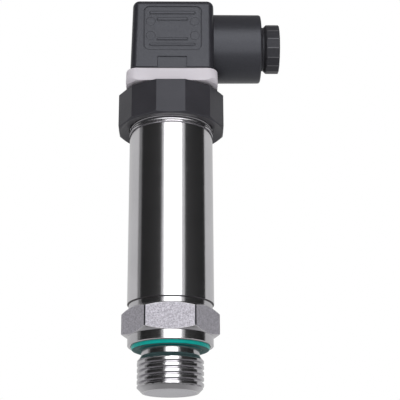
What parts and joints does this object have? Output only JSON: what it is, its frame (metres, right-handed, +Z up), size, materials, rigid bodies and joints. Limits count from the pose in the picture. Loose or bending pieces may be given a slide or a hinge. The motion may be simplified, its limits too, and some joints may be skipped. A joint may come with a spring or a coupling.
{
  "type": "pressure sensor",
  "caption": "Stainless pressure transmitter with flush membrane, hexagon, bright tube, black union nut and a right-angle square connector with cable gland.",
  "frame": {"origin": "centre of the flush membrane face at the tip of the stud end", "axes": "+Z up the tube axis from the stud to the connector, +X the way the cable gland points"},
  "size_m": [0.0539, 0.0346, 0.1293],
  "materials": {
    "black_plastic": "moulded",
    "black_rubber": "moulded rubber",
    "block_plastic": "moulded",
    "board_green": "solder mask",
    "brass": "turned brass",
    "bright_steel_tube": "bright ground stainless tube",
    "can_aluminium": "drawn can",
    "chip_black": "moulded package",
    "contact_metal": "tinned contact",
    "gold_plate": "gold plated pins",
    "membrane_steel": "satin stainless diaphragm",
    "nut_plastic": "moulded, slightly satin",
    "offwhite_plastic": "satin moulding",
    "plug_plastic": "fine eroded moulding",
    "ribbon_film": "amber film",
    "screw_steel": "zinc plated screw",
    "silicon": "polished die",
    "slip_plastic": "smooth slip ring",
    "teal_rubber": "smooth teal seal rubber",
    "turned_steel": "fine turned stainless steel",
    "wire_sleeve": "insulated wire"
  },
  "bodies": {
    "housing": {"process_connection": "turned_steel", "membrane": "membrane_steel", "seal_ring": "teal_rubber", "cell_header": "turned_steel", "pressure_chip": "silicon", "header_pins": "gold_plate", "cell_lock_ring": "turned_steel", "cell_board": "board_green", "sensor_ribbon": "ribbon_film", "housing_tube": "bright_steel_tube", "threaded_collar": "turned_steel", "board_holder": "black_plastic", "circuit_board": "board_green", "amplifier_chip": "chip_black", "board_capacitors": "can_aluminium", "board_plug": "offwhite_plastic", "lead_wires": "wire_sleeve"},
    "head": {"connector_base": "offwhite_plastic", "base_o_ring": "black_rubber", "screw_insert": "brass", "base_gasket": "black_rubber", "contact_blade_1": "contact_metal", "contact_blade_2": "contact_metal", "contact_blade_3": "contact_metal", "earth_blade": "contact_metal"},
    "slip_ring": {"thrust_ring": "slip_plastic"},
    "nut": {"union_nut": "nut_plastic"},
    "plug": {"plug_housing": "plug_plastic", "contact_block": "block_plastic", "terminal_1": "brass", "terminal_2": "brass", "terminal_3": "brass", "terminal_earth": "brass", "terminal_screws": "screw_steel", "cable_seal": "black_rubber"},
    "head_seal": {"screw_seal": "black_rubber"},
    "centre_screw": {"fixing_screw": "screw_steel"},
    "washer": {"gland_washer": "black_plastic"},
    "pressure_screw": {"gland_screw": "nut_plastic"}
  },
  "joints": [
    {"name": "head_turn", "type": "hinge", "parent": "housing", "child": "head", "pos_m": [0, 0, 0.0955], "axis": [0, 0, 1], "range_deg": [-165, 165]},
    {"name": "nut_rise", "type": "slide", "parent": "housing", "child": "slip_ring", "axis": [0, 0, 1], "range_m": [0, 0.000375]},
    {"name": "nut_turn", "type": "hinge", "parent": "slip_ring", "child": "nut", "pos_m": [0, 0, 0.092], "axis": [0, 0, 1], "range_deg": [0, 135]},
    {"name": "plug_pull", "type": "slide", "parent": "head", "child": "plug", "axis": [0, 0, 1], "range_m": [0, 0.028]},
    {"name": "screw_rise", "type": "slide", "parent": "plug", "child": "head_seal", "axis": [0, 0, 1], "range_m": [0, 0.00387]},
    {"name": "screw_turn", "type": "hinge", "parent": "head_seal", "child": "centre_screw", "pos_m": [0, 0, 0.12], "axis": [0, 0, 1], "range_deg": [0, 2790]},
    {"name": "gland_travel", "type": "slide", "parent": "plug", "child": "washer", "axis": [1, 0, 0], "range_m": [0, 0.0045]},
    {"name": "gland_turn", "type": "hinge", "parent": "washer", "child": "pressure_screw", "pos_m": [0.03, 0, 0.11755], "axis": [1, 0, 0], "range_deg": [0, 1080]}
  ],
  "couplings": [
    {"joint": "nut_rise", "follows": "nut_turn", "m_per_rad": 0.00015915},
    {"joint": "screw_turn", "follows": "screw_rise", "rad_per_m": 12566},
    {"joint": "gland_turn", "follows": "gland_travel", "rad_per_m": 4188.8}
  ]
}
